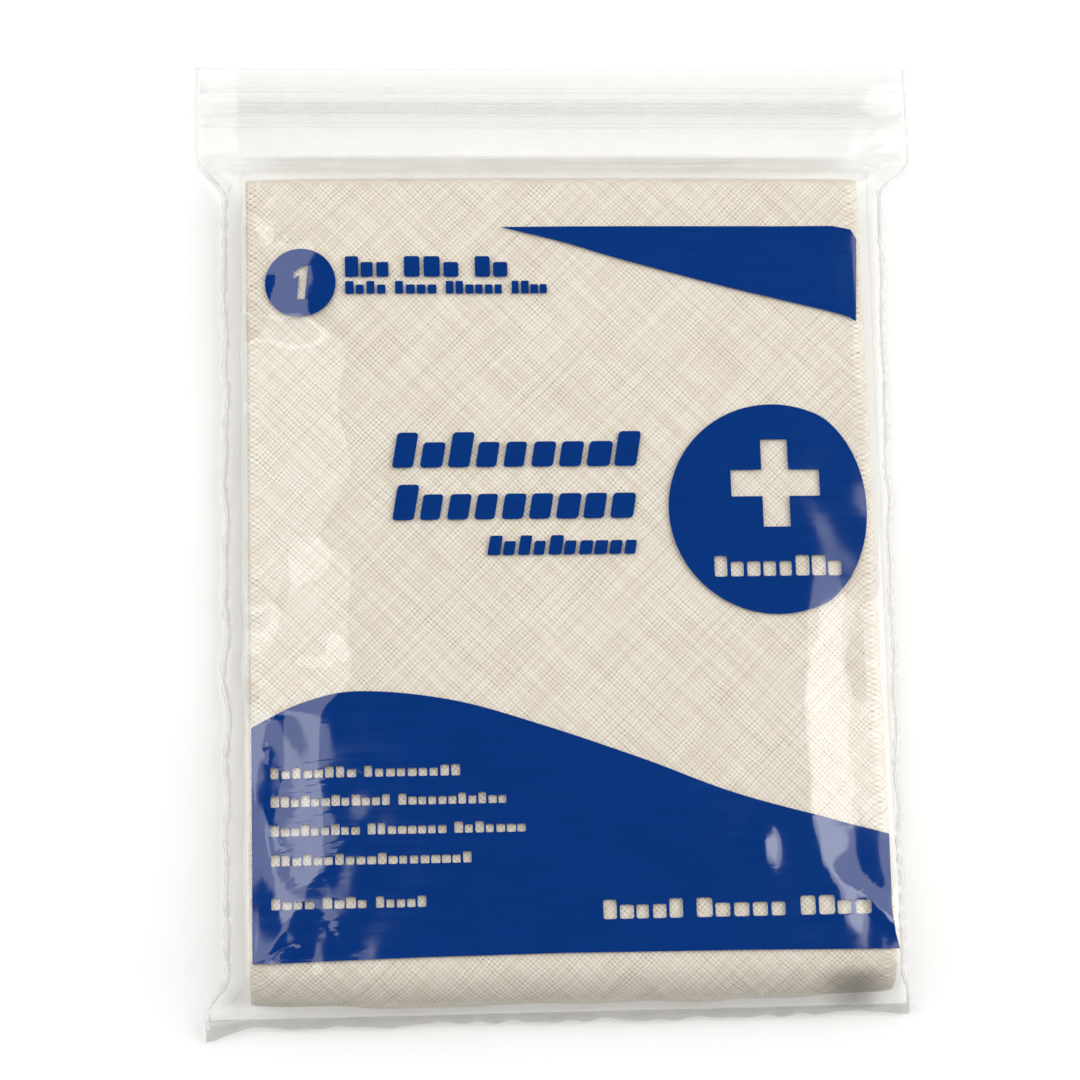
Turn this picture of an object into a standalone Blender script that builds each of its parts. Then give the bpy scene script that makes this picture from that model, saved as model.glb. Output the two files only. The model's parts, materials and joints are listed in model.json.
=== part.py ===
"""Arm sling as it is sold: a triangular muslin bandage folded into a flat pack, in a clear
press-to-close bag, with two safety pins between the cloth and the bag's back film.

Metres, +Z up. The bag lies on its back film: +X right, +Y towards the mouth, +Z out of the front film.
The origin is under the middle of the bag, on the surface that it lies on.
"""
import math

import bmesh
import bpy

# ---- Driving dimensions -------------------------------------------------------------------------
BAG_LENGTH = 0.186  # bottom fold to lip edge
HEADER_WIDTH = 0.144  # across the zip, over both side welds
BODY_LEFT = -0.0664  # outer edge of the left weld beside the cloth
BODY_RIGHT_TOP = 0.0655  # outer edge of the right weld at the cloth's top
BODY_RIGHT_BOTTOM = 0.0618  # and at the bottom fold
FILM = 0.00025  # film wall
GAP = 0.0003  # between parts that touch
FINE_GAP = 0.0001  # between film, ribs and zip profiles

CLOTH_WIDTH = 0.120  # one leaf of twelve in the bandage's long edge
CLOTH_FACE = 0.150  # flat length of the pack
CLOTH_THICKNESS = 0.0130
CLOTH_CENTRE_X = -0.0015
BULGE_TOP = 0.0045  # how far the rounded ends stand out past the flat face
BULGE_BOTTOM = 0.0058
SIDE_ROUND = 0.0018

LIP_TO_FACE = 0.0279  # lip edge to the top edge of the cloth's flat face
LIP_TO_SHOULDER = 0.0190  # lip edge to where the film leaves the header and climbs the pack
BACK_SHOULDER_SET = 0.0010  # the back film starts to rise this much nearer the lip
LIP_TO_ZIP = 0.0087
LIP_TO_UPPER_GRIP = 0.0050
LIP_TO_LOWER_GRIP = 0.0124

WELD_WIDTH = 0.0010
HEADER_BACK_Z = 0.0030  # underside of the back lip
HEADER_SPACE = 0.0019  # between the two lips, filled by the zip

WIRE = 0.0009  # safety pin wire
COIL_RADIUS = 0.0021  # to the middle of the wire
PIN_REACH = 0.0330  # coil axis to point
PIN_SWING_ROOM = math.radians(27.0)
PIN_AXES = ((-0.0180, -0.0320), (-0.0180, -0.0060))
CLASP_LENGTH = 0.0068
CLASP_WIDTH = 0.0066

# ---- Derived places -----------------------------------------------------------------------------
LIP_Y = BAG_LENGTH / 2
BOTTOM_Y = -BAG_LENGTH / 2
FACE_TOP_Y = LIP_Y - LIP_TO_FACE
FACE_BOTTOM_Y = FACE_TOP_Y - CLOTH_FACE
SHOULDER_Y = LIP_Y - LIP_TO_SHOULDER
ZIP_Y = LIP_Y - LIP_TO_ZIP
FILM_BOTTOM_Y = BOTTOM_Y + WELD_WIDTH + GAP
CLOTH_LEFT = CLOTH_CENTRE_X - CLOTH_WIDTH / 2
CLOTH_RIGHT = CLOTH_CENTRE_X + CLOTH_WIDTH / 2
CLOTH_BASE_Z = FILM + GAP
CLOTH_TOP_Z = CLOTH_BASE_Z + CLOTH_THICKNESS
FRONT_Z = CLOTH_TOP_Z + GAP  # underside of the front film over the cloth
FRONT_LIP_Z = HEADER_BACK_Z + FILM + HEADER_SPACE  # underside of the front lip
WELD_TOP_Z = FRONT_LIP_Z + FILM
ZIP_HALF_LENGTH = HEADER_WIDTH / 2 - WELD_WIDTH - 2 * GAP
PIN_BASE_Z = CLOTH_BASE_Z
PIN_PITCH = WIRE + FINE_GAP
PIN_HEIGHT = WIRE + PIN_PITCH

SLOPE_STEPS = (0.0, 0.3, 0.55, 0.75, 0.9, 1.0)  # shares of the way from the cloth's edge to the weld


# ---- Scene helpers ------------------------------------------------------------------------------
def clear_scene():
    for obj in list(bpy.data.objects):
        bpy.data.objects.remove(obj, do_unlink=True)


def new_collection(name):
    collection = bpy.data.collections.new(name)
    bpy.context.scene.collection.children.link(collection)
    return collection


def new_material(name, colour, roughness, metallic=0.0, alpha=1.0):
    material = bpy.data.materials.new(name)
    material.use_nodes = True
    shader = material.node_tree.nodes["Principled BSDF"]
    shader.inputs["Base Color"].default_value = (*colour, 1.0)
    shader.inputs["Roughness"].default_value = roughness
    shader.inputs["Metallic"].default_value = metallic
    shader.inputs["Alpha"].default_value = alpha
    return material


def add_object(name, data, material, location=(0.0, 0.0, 0.0)):
    obj = bpy.data.objects.new(name, data)
    obj.location = location
    data.materials.append(material)
    PARTS.objects.link(obj)
    return obj


def add_cutter(name, bm, location=(0.0, 0.0, 0.0)):
    mesh = bpy.data.meshes.new(name)
    bm.to_mesh(mesh)
    bm.free()
    cutter = bpy.data.objects.new(name, mesh)
    cutter.location = location
    cutter.hide_render = True
    cutter.display_type = "WIRE"
    CUTTERS.objects.link(cutter)
    return cutter


def cut(obj, cutter):
    boolean = obj.modifiers.new("cut " + cutter.name, "BOOLEAN")
    boolean.operation = "DIFFERENCE"
    boolean.solver = "EXACT"
    boolean.object = cutter


def box_mesh(low, high):
    """A bmesh box between two corners."""
    bm = bmesh.new()
    bmesh.ops.create_cube(bm, size=1.0)
    for vert in bm.verts:
        for axis in range(3):
            vert.co[axis] = low[axis] if vert.co[axis] < 0 else high[axis]
    return bm


def finish_mesh(name, bm, material, location=(0.0, 0.0, 0.0), smooth_angle=None):
    mesh = bpy.data.meshes.new(name)
    bm.to_mesh(mesh)
    bm.free()
    if smooth_angle is not None:
        mesh.shade_smooth()
        mesh.set_sharp_from_angle(angle=math.radians(smooth_angle))
    return add_object(name, mesh, material, location)


# ---- The bag's outline and heights --------------------------------------------------------------
def ease(share):
    share = min(max(share, 0.0), 1.0)
    return share * share * (3.0 - 2.0 * share)


def weld_edges(y):
    """Outer edges of the left and right weld at height y: the full header, drawn in beside the cloth."""
    flare = ease((y - FACE_TOP_Y) / (SHOULDER_Y - FACE_TOP_Y))
    along = min((y - BOTTOM_Y) / (FACE_TOP_Y - BOTTOM_Y), 1.0)
    right = BODY_RIGHT_BOTTOM + along * (BODY_RIGHT_TOP - BODY_RIGHT_BOTTOM)
    half = HEADER_WIDTH / 2
    return (
        BODY_LEFT + flare * (-half - BODY_LEFT),
        right + flare * (half - right),
    )


def film_columns(y):
    """Columns of a film panel at height y, as pairs of x and share of the side slope."""
    left, right = weld_edges(y)
    left += WELD_WIDTH + GAP
    right -= WELD_WIDTH + GAP
    start_left = CLOTH_LEFT - GAP
    start_right = CLOTH_RIGHT + GAP
    columns = [(start_left + step * (left - start_left), step) for step in reversed(SLOPE_STEPS)]
    columns += [(start_right + step * (right - start_right), step) for step in SLOPE_STEPS]
    return columns


def slope_rows(start, end):
    """Rows from start to end, as pairs of y and share of the slope."""
    return [(start + step * (end - start), step) for step in SLOPE_STEPS]


def fall(share, power):
    """How far the film has come down at a share of its slope: rounded over the cloth, then steep."""
    return 1.0 - (1.0 - share * share) ** power


def both(side, end):
    """One share from a side's and an end's: each counts alone, and they round the corner together."""
    return 1.0 - (1.0 - side) * (1.0 - end)


def film_panel(name, rows, height, material):
    """A film panel on the grid of the bag's columns and the given rows; height(side, end, y) is its underside."""
    columns = len(film_columns(0.0))
    bm = bmesh.new()
    bmesh.ops.create_grid(bm, x_segments=columns - 1, y_segments=len(rows) - 1, size=0.5)
    for vert in bm.verts:
        column = round((vert.co.x + 0.5) * (columns - 1))
        row = round((vert.co.y + 0.5) * (len(rows) - 1))
        y, end_share = rows[row]
        x, side_share = film_columns(y)[column]
        vert.co = (x, y, height(side_share, end_share, y))
    obj = finish_mesh(name, bm, material, smooth_angle=25.0)
    wall = obj.modifiers.new("film wall", "SOLIDIFY")
    wall.thickness = FILM
    wall.offset = 1.0
    wall.use_even_offset = True
    return obj


def front_height(side, end, y):
    """Underside of the front film: flat over the cloth, down to the lip's level at every edge."""
    end_fall = fall(end, 0.5 if y < 0 else 1.0)
    return FRONT_Z - (FRONT_Z - FRONT_LIP_Z) * both(fall(side, 0.8), end_fall)


def back_height(side, end, _):
    """Underside of the back film: flat where the pack rests, up to the back lip's level at every edge."""
    return HEADER_BACK_Z * both(side, end)


# ---- Bag ----------------------------------------------------------------------------------------
def make_films(film):
    bottom_rows = slope_rows(FACE_BOTTOM_Y, FILM_BOTTOM_Y)[::-1]
    film_panel("bag_front_film", bottom_rows + [(FACE_TOP_Y, 0.0)], front_height, film)
    back_bottom = slope_rows(FACE_BOTTOM_Y - BULGE_BOTTOM, FILM_BOTTOM_Y)[::-1]
    back_top = slope_rows(FACE_TOP_Y + BACK_SHOULDER_SET, SHOULDER_Y - GAP)
    film_panel("bag_back_film", back_bottom + back_top, back_height, film)


def make_welds(weld):
    """The side welds follow the outline from the bottom fold to the lip edge."""
    flare = [y for y, _ in slope_rows(FACE_TOP_Y, SHOULDER_Y)]
    ys = [BOTTOM_Y, *flare, LIP_Y]
    for side, name in enumerate(("left_side_seal", "right_side_seal")):
        inward = WELD_WIDTH if side == 0 else -WELD_WIDTH
        bm = bmesh.new()
        bmesh.ops.create_grid(bm, x_segments=1, y_segments=len(ys) - 1, size=0.5)
        for vert in bm.verts:
            y = ys[round((vert.co.y + 0.5) * (len(ys) - 1))]
            edge = weld_edges(y)[side]
            outer = (vert.co.x < 0) == (side == 0)
            vert.co = (edge if outer else edge + inward, y, HEADER_BACK_Z)
        obj = finish_mesh(name, bm, weld)
        wall = obj.modifiers.new("weld height", "SOLIDIFY")
        wall.thickness = WELD_TOP_Z - HEADER_BACK_Z
        wall.offset = 1.0


def make_bottom_fold(film):
    left, right = weld_edges(BOTTOM_Y)
    low = (left + WELD_WIDTH + GAP, BOTTOM_Y, HEADER_BACK_Z)
    high = (right - WELD_WIDTH - GAP, BOTTOM_Y + WELD_WIDTH, WELD_TOP_Z)
    obj = finish_mesh("bottom_fold", box_mesh(low, high), film, smooth_angle=40.0)
    round_edge = obj.modifiers.new("fold round", "BEVEL")
    round_edge.width = WELD_WIDTH * 0.4
    round_edge.segments = 3


def make_back_lip(film):
    half = HEADER_WIDTH / 2 - WELD_WIDTH - GAP
    low = (-half, SHOULDER_Y, HEADER_BACK_Z)
    high = (half, LIP_Y, HEADER_BACK_Z + FILM)
    finish_mesh("back_lip", box_mesh(low, high), film)


def make_front_lip(film):
    """The front half of the mouth: it starts at the pack's top edge, comes down the shoulder and
    runs flat over the zip. Its origin is on the line that the film bends along when the mouth opens."""
    rows = slope_rows(FACE_TOP_Y + GAP, SHOULDER_Y) + [(LIP_Y, 1.0)]
    obj = film_panel("front_lip", rows, front_height, film)
    set_origin(obj, (0.0, FACE_TOP_Y + GAP / 2, FRONT_Z))


def set_origin(obj, origin):
    for vert in obj.data.vertices:
        for axis in range(3):
            vert.co[axis] -= origin[axis]
    obj.location = origin


def profile_along_x(name, outline, y, z, material):
    """A zip profile or rib: an outline in the YZ plane, extruded along the mouth."""
    curve = bpy.data.curves.new(name, "CURVE")
    curve.dimensions = "2D"
    curve.fill_mode = "BOTH"
    curve.extrude = ZIP_HALF_LENGTH
    spline = curve.splines.new("POLY")
    spline.points.add(len(outline) - 1)
    for point, (across, up) in zip(spline.points, outline):
        point.co = (across, up, 0.0, 1.0)
    spline.use_cyclic_u = True
    obj = add_object(name, curve, material, (0.0, y, z))
    obj.rotation_euler = (math.radians(90), 0.0, math.radians(90))
    return obj


def make_zip(zip_material):
    """A rib on the back lip stands in a channel under the front lip, with room to swing clear."""
    flange = 0.0016
    flange_height = 0.0002
    stem = 0.0002
    head = 0.0004
    head_base = 0.0007
    head_top = 0.0010
    rib = [
        (-flange, 0.0),
        (flange, 0.0),
        (flange, flange_height),
        (stem, flange_height),
        (stem, head_base),
        (head, head_base),
        (stem, head_top),
        (-stem, head_top),
        (-head, head_base),
        (-stem, head_base),
        (-stem, flange_height),
        (-flange, flange_height),
    ]
    back_z = HEADER_BACK_Z + FILM + FINE_GAP
    profile_along_x("zip_rib", rib, ZIP_Y, back_z, zip_material)

    inner = 0.0009
    outer = 0.0012
    depth = 0.0011
    channel = [
        (-flange, 0.0),
        (-flange, -flange_height),
        (-outer, -flange_height),
        (-outer, -depth),
        (-inner, -depth),
        (-inner, -flange_height),
        (inner, -flange_height),
        (inner, -depth),
        (outer, -depth),
        (outer, -flange_height),
        (flange, -flange_height),
        (flange, 0.0),
    ]
    profile_along_x("zip_channel", channel, ZIP_Y, FRONT_LIP_Z - FINE_GAP, zip_material)


def make_grip_ribs(zip_material):
    """Two ridges on the outside of each lip, where fingers grip to pull the mouth open."""
    half_width = 0.00025
    height = 0.0003
    places = (("upper", LIP_Y - LIP_TO_UPPER_GRIP), ("lower", LIP_Y - LIP_TO_LOWER_GRIP))
    for place, y in places:
        for side, z in (
            ("front", WELD_TOP_Z + FINE_GAP),
            ("back", HEADER_BACK_Z - FINE_GAP - height),
        ):
            low = (-ZIP_HALF_LENGTH, y - half_width, z)
            high = (ZIP_HALF_LENGTH, y + half_width, z + height)
            finish_mesh(f"{side}_grip_rib_{place}", box_mesh(low, high), zip_material)


# ---- Folded bandage -----------------------------------------------------------------------------
def bevel_edges(bm, wanted, offset, segments):
    edges = [edge for edge in bm.edges if wanted(edge)]
    bmesh.ops.bevel(bm, geom=edges, offset=offset, segments=segments, profile=0.5, affect="EDGES")


def runs_along(edge, axis, at_y=None):
    start, end = (vert.co for vert in edge.verts)
    length = (end - start).length
    if abs(abs(end[axis] - start[axis]) - length) > 1e-6:
        return False
    return at_y is None or abs(start.y - at_y) < 1e-6


def make_bandage(muslin):
    """The folded cloth: rounded at both ends, with a shallow pocket pressed in round each safety pin."""
    top_y = FACE_TOP_Y + BULGE_TOP
    bottom_y = FACE_BOTTOM_Y - BULGE_BOTTOM
    bm = box_mesh((CLOTH_LEFT, bottom_y, CLOTH_BASE_Z), (CLOTH_RIGHT, top_y, CLOTH_TOP_Z))
    bevel_edges(bm, lambda edge: runs_along(edge, 0, top_y), BULGE_TOP, 5)
    bevel_edges(bm, lambda edge: runs_along(edge, 0, bottom_y), BULGE_BOTTOM, 5)
    bandage = finish_mesh("folded_bandage", bm, muslin, smooth_angle=35.0)
    sides = bandage.modifiers.new("side rounds", "BEVEL")
    sides.width = SIDE_ROUND
    sides.segments = 3
    sides.limit_method = "ANGLE"
    sides.angle_limit = math.radians(60)
    sweep = (PIN_REACH + WIRE) * math.sin(PIN_SWING_ROOM) + COIL_RADIUS + GAP
    for number, (x, y) in enumerate(PIN_AXES, start=1):
        low = (-COIL_RADIUS - WIRE - GAP, -CLASP_WIDTH / 2 - GAP, -PIN_HEIGHT)
        high = (PIN_REACH + CLASP_LENGTH / 2, sweep, PIN_HEIGHT + GAP)
        cutter = add_cutter(f"pin_pocket_{number}", box_mesh(low, high), (x, y, PIN_BASE_Z))
        cut(bandage, cutter)


# ---- Safety pins --------------------------------------------------------------------------------
def wire_object(name, points, material, location):
    """A round wire through (x, y, z, thickness share) points."""
    curve = bpy.data.curves.new(name, "CURVE")
    curve.dimensions = "3D"
    curve.bevel_depth = WIRE / 2
    curve.bevel_resolution = 2
    curve.use_fill_caps = True
    spline = curve.splines.new("POLY")
    spline.points.add(len(points) - 1)
    for point, (x, y, z, share) in zip(spline.points, points):
        point.co = (x, y, z, 1.0)
        point.radius = share
    return add_object(name, curve, material, location)


def coil_turn(start, sweep, z):
    """Points of a coil turn about the pin's axis, from the start angle through the sweep."""
    steps = 18
    points = []
    for step in range(steps + 1):
        angle = math.radians(start + sweep * step / steps)
        points.append((COIL_RADIUS * math.cos(angle), COIL_RADIUS * math.sin(angle), z, 1.0))
    return points


def make_safety_pin(number, axis, steel, brass):
    """Pin lying along +X from its coil; its arm swings out about the coil's axis."""
    location = (axis[0], axis[1], PIN_BASE_Z)
    low_z = WIRE / 2
    high_z = low_z + PIN_PITCH
    middle_z = (low_z + high_z) / 2
    clasp_start = PIN_REACH - CLASP_LENGTH * 0.7
    clasp_end = clasp_start + CLASP_LENGTH

    leg = [(PIN_REACH, -COIL_RADIUS, middle_z, 1.0), (clasp_start - WIRE, -COIL_RADIUS, middle_z, 1.0)]
    leg += coil_turn(-90.0, -270.0, low_z)
    wire_object(f"safety_pin_{number}_wire", leg, steel, location)

    arm = coil_turn(360.0, -270.0, high_z)
    arm += [
        (clasp_start - WIRE, COIL_RADIUS, middle_z, 1.0),
        (PIN_REACH - 0.003, COIL_RADIUS, middle_z, 0.75),
        (PIN_REACH, COIL_RADIUS, middle_z, 0.15),
    ]
    wire_object(f"safety_pin_{number}_arm", arm, steel, location)

    bm = box_mesh((clasp_start, -CLASP_WIDTH / 2, 0.0), (clasp_end, CLASP_WIDTH / 2, PIN_HEIGHT))
    clasp = finish_mesh(f"safety_pin_{number}_clasp", bm, brass, location, smooth_angle=40.0)
    rounding = clasp.modifiers.new("pressed edges", "BEVEL")
    rounding.width = PIN_HEIGHT * 0.3
    rounding.segments = 3

    slot_half = WIRE / 2 + FINE_GAP
    slot = box_mesh(
        (clasp_start - WIRE, COIL_RADIUS - WIRE, middle_z - slot_half),
        (PIN_REACH + WIRE / 2, CLASP_WIDTH, middle_z + slot_half),
    )
    cut(clasp, add_cutter(f"clasp_slot_{number}", slot, location))
    hole = bmesh.new()
    bmesh.ops.create_cone(
        hole,
        cap_ends=True,
        segments=16,
        radius1=slot_half,
        radius2=slot_half,
        depth=2 * (PIN_REACH + GAP - clasp_start),
    )
    for vert in hole.verts:
        x, y, z = vert.co
        vert.co = (clasp_start + z, y - COIL_RADIUS, middle_z - x)
    cut(clasp, add_cutter(f"clasp_hole_{number}", hole, location))


# ---- Build --------------------------------------------------------------------------------------
clear_scene()
PARTS = new_collection("arm_sling_pack")
CUTTERS = new_collection("cutters")

clear_film = new_material("clear film", (0.90, 0.92, 0.94), 0.12, alpha=0.3)
weld_film = new_material("welded film", (0.88, 0.90, 0.92), 0.20, alpha=0.6)
zip_film = new_material("zip profile", (0.90, 0.91, 0.92), 0.25, alpha=0.6)
unbleached_muslin = new_material("unbleached muslin", (0.80, 0.72, 0.60), 0.95)
nickel_wire = new_material("nickel-plated wire", (0.75, 0.75, 0.74), 0.22, metallic=1.0)
nickel_sheet = new_material("nickel-plated sheet", (0.77, 0.77, 0.75), 0.28, metallic=1.0)

make_films(clear_film)
make_welds(weld_film)
make_bottom_fold(clear_film)
make_back_lip(clear_film)
make_front_lip(clear_film)
make_zip(zip_film)
make_grip_ribs(zip_film)
make_bandage(unbleached_muslin)
for pin_number, pin_axis in enumerate(PIN_AXES, start=1):
    make_safety_pin(pin_number, pin_axis, nickel_wire, nickel_sheet)
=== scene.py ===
"""Arm sling pack: a triangular muslin bandage folded flat in a clear, printed, press-to-close bag.

Metres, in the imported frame: +X right, +Y towards the mouth, +Z out of the printed front film.
"""

import json
import math

import bmesh
import bpy
import numpy as np
from mathutils import Matrix, Vector


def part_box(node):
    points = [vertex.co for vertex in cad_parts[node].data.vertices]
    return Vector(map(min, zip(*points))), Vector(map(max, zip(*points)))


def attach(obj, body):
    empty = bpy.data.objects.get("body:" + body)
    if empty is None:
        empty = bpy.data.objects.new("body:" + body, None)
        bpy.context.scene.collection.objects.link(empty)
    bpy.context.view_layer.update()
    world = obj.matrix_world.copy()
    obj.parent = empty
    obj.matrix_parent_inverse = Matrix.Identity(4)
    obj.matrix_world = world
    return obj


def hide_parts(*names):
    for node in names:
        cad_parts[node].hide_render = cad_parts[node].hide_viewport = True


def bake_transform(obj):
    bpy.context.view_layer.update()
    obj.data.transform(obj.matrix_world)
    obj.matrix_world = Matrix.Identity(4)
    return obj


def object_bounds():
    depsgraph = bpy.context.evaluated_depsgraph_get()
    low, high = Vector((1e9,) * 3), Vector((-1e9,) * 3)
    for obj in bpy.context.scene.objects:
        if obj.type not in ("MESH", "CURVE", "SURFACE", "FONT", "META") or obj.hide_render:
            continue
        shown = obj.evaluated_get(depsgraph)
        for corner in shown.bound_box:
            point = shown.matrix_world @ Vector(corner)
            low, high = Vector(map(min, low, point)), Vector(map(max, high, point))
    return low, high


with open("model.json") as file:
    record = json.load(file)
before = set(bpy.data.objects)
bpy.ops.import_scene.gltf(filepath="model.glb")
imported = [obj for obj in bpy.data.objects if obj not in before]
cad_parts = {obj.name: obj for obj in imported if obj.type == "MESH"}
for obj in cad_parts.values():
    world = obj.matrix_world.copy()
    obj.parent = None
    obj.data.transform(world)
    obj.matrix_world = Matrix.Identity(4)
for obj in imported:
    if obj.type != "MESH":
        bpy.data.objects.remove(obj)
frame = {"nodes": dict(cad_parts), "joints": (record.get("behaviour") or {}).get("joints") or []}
cad_low, cad_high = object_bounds()

MM = 0.001

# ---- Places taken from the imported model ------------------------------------
cloth_low, cloth_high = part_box("folded_bandage")
front_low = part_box("bag_front_film")[0]
back_lip_low, back_lip_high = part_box("back_lip")
fold_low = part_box("bottom_fold")[0]
rib_low, rib_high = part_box("zip_rib")
seal_l_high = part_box("left_side_seal")[1]
seal_r_low, seal_r_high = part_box("right_side_seal")
hinge = next(j for j in frame["joints"] if j["name"] == "mouth_open")

FACE_TOP = hinge["pos_m"][1]
FACE_BOTTOM = front_low.y + 6.8 * MM
SHOULDER = back_lip_low.y
LIP = back_lip_high.y
BOTTOM = fold_low.y
HEADER_HALF = seal_r_high.x
BACK_Z = back_lip_low.z  # underside of the back lip
FRONT_Z = seal_l_high.z - 0.25 * MM  # underside of the front lip
ZIP_Y = (rib_low.y + rib_high.y) / 2
BODY_LEFT = -66.4 * MM
BODY_RIGHT_TOP = 65.5 * MM
BODY_RIGHT_BOTTOM = seal_r_low.x + 1.0 * MM
WELD = 1.0 * MM
FILM_WALL = 0.12 * MM
SIDE_GAP = 0.3 * MM  # between the cloth and the foot of the film's side slope
WELD_Z = BACK_Z + 0.5 * MM  # where the two films meet along the side welds
END_Y = front_low.y - 2.5 * MM  # where the films turn into the bottom fold

# ---- The cloth -------------------------------------------------------------
LONG_EDGE = 1.437  # the cut's long edge
ALTITUDE = LONG_EDGE / 2
LEAF = 0.120  # width of one leaf; the outermost leaf at each end is about half one
FACE_LENGTH = FACE_TOP - FACE_BOTTOM
TURNS = (19.0 * MM, 16.0 * MM, 7.0 * MM, 5.0 * MM)  # cloth taken up by each end turn, outer ones first
THREAD_PITCH = 0.72 * MM  # read off the photograph


def smooth(x):
    x = np.clip(x, 0.0, 1.0)
    return x * x * (3.0 - 2.0 * x)


def waves(x, y, wavelength, seed, count=14, stretch=1.0):
    """Smooth noise of about unit height: a sum of plane waves. stretch above 1 draws it out along y."""
    rng = np.random.default_rng(seed)
    total = 0.0
    for _ in range(count):
        angle = rng.uniform(0.0, math.pi)
        k = 2.0 * math.pi / (wavelength * rng.uniform(0.7, 1.5))
        phase = rng.uniform(0.0, 2.0 * math.pi)
        total = total + np.sin(k * (x * math.cos(angle) + y * math.sin(angle) / stretch) + phase)
    return total / math.sqrt(count / 2.0) / 1.6


def weld_edges(y):
    """Outer edges of the side welds at height y, with the small waves and the corner ears of soft film."""
    flare = smooth((y - FACE_TOP) / (SHOULDER - FACE_TOP))
    along = np.clip((y - BOTTOM) / (FACE_TOP - BOTTOM), 0.0, 1.0)
    slack = smooth((FACE_TOP - y) / (10.0 * MM))
    left = BODY_LEFT - 3.6 * MM * smooth((-86.0 * MM - y) / (7.0 * MM))
    left = left + 0.35 * MM * waves(y, 0.0 * y, 13.0 * MM, 51) * slack
    right = BODY_RIGHT_BOTTOM + along * (BODY_RIGHT_TOP - BODY_RIGHT_BOTTOM)
    right = right + 1.2 * MM * smooth((-87.0 * MM - y) / (6.0 * MM))
    right = right + 0.30 * MM * waves(y, 0.0 * y, 15.0 * MM, 52) * slack
    return left + flare * (-HEADER_HALF - left), right + flare * (HEADER_HALF - right)


# ---- Mesh helpers ----------------------------------------------------------
def link(obj):
    bpy.context.scene.collection.objects.link(obj)


def mesh_object(name, verts, faces, material, smooth_shade=True):
    mesh = bpy.data.meshes.new(name)
    mesh.from_pydata([tuple(v) for v in verts], [], faces)
    mesh.validate()
    mesh.update()
    if smooth_shade:
        mesh.shade_smooth()
    obj = bpy.data.objects.new(name, mesh)
    obj.data.materials.append(material)
    link(obj)
    return obj


def grid_faces(rows, columns):
    index = np.arange(rows * columns).reshape(rows, columns)
    quads = np.stack([index[:-1, :-1], index[:-1, 1:], index[1:, 1:], index[1:, :-1]], -1)
    return quads.reshape(-1, 4).tolist()


def sheet_object(name, x, y, z, material, wall):
    """A thin sheet on a grid of points, given a wall."""
    rows, columns = x.shape
    points = np.stack([x, y, z], -1).reshape(-1, 3)
    obj = mesh_object(name, points, grid_faces(rows, columns), material)
    solid = obj.modifiers.new("wall", "SOLIDIFY")
    solid.thickness = wall
    solid.offset = 1.0
    apply_modifiers(obj)
    return obj


def apply_modifiers(obj):
    bpy.context.view_layer.update()
    depsgraph = bpy.context.evaluated_depsgraph_get()
    mesh = bpy.data.meshes.new_from_object(obj.evaluated_get(depsgraph))
    old = obj.data
    obj.modifiers.clear()
    obj.data = mesh
    mesh.name = obj.name
    bpy.data.meshes.remove(old)


# ---- Material helpers ------------------------------------------------------
class Nodes:
    """Short calls for building a node tree."""

    def __init__(self, name):
        self.material = bpy.data.materials.new(name)
        self.material.use_nodes = True
        self.tree = self.material.node_tree
        self.shader = self.tree.nodes["Principled BSDF"]
        self.output = self.tree.nodes["Material Output"]

    def add(self, kind, inputs=(), out=0, **settings):
        node = self.tree.nodes.new("ShaderNode" + kind)
        for key, value in settings.items():
            setattr(node, key, value)
        pairs = inputs.items() if isinstance(inputs, dict) else enumerate(inputs)
        for key, value in pairs:
            if value is not None:
                self.set(node.inputs[key], value)
        return node.outputs[out]

    def set(self, socket, value):
        if isinstance(value, bpy.types.NodeSocket):
            self.tree.links.new(value, socket)
        else:
            socket.default_value = value

    def math(self, operation, a, b=None, c=None, clamp=False):
        return self.add("Math", [a, b, c], operation=operation, use_clamp=clamp)

    def noise(self, vector, scale, detail=3.0, roughness=0.5):
        inputs = {"Vector": vector, "Scale": scale, "Detail": detail, "Roughness": roughness}
        return self.add("TexNoise", inputs)

    def ramp(self, value, low, high, to_low=0.0, to_high=1.0):
        return self.add("MapRange", [value, low, high, to_low, to_high], interpolation_type="SMOOTHSTEP")

    def mix(self, factor, a, b):
        return self.add("Mix", {0: factor, 6: a, 7: b}, out=2, data_type="RGBA")

    def object_space(self):
        return self.add("TexCoord", out=3)

    def principled(self, **values):
        for key, value in values.items():
            self.set(self.shader.inputs[key.replace("_", " ")], value)

    def bump(self, height, distance, strength=1.0):
        normal = self.add("Bump", {"Strength": strength, "Distance": distance, "Height": height})
        self.set(self.shader.inputs["Normal"], normal)


def rgb(red, green, blue):
    return (red, green, blue, 1.0)


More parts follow.
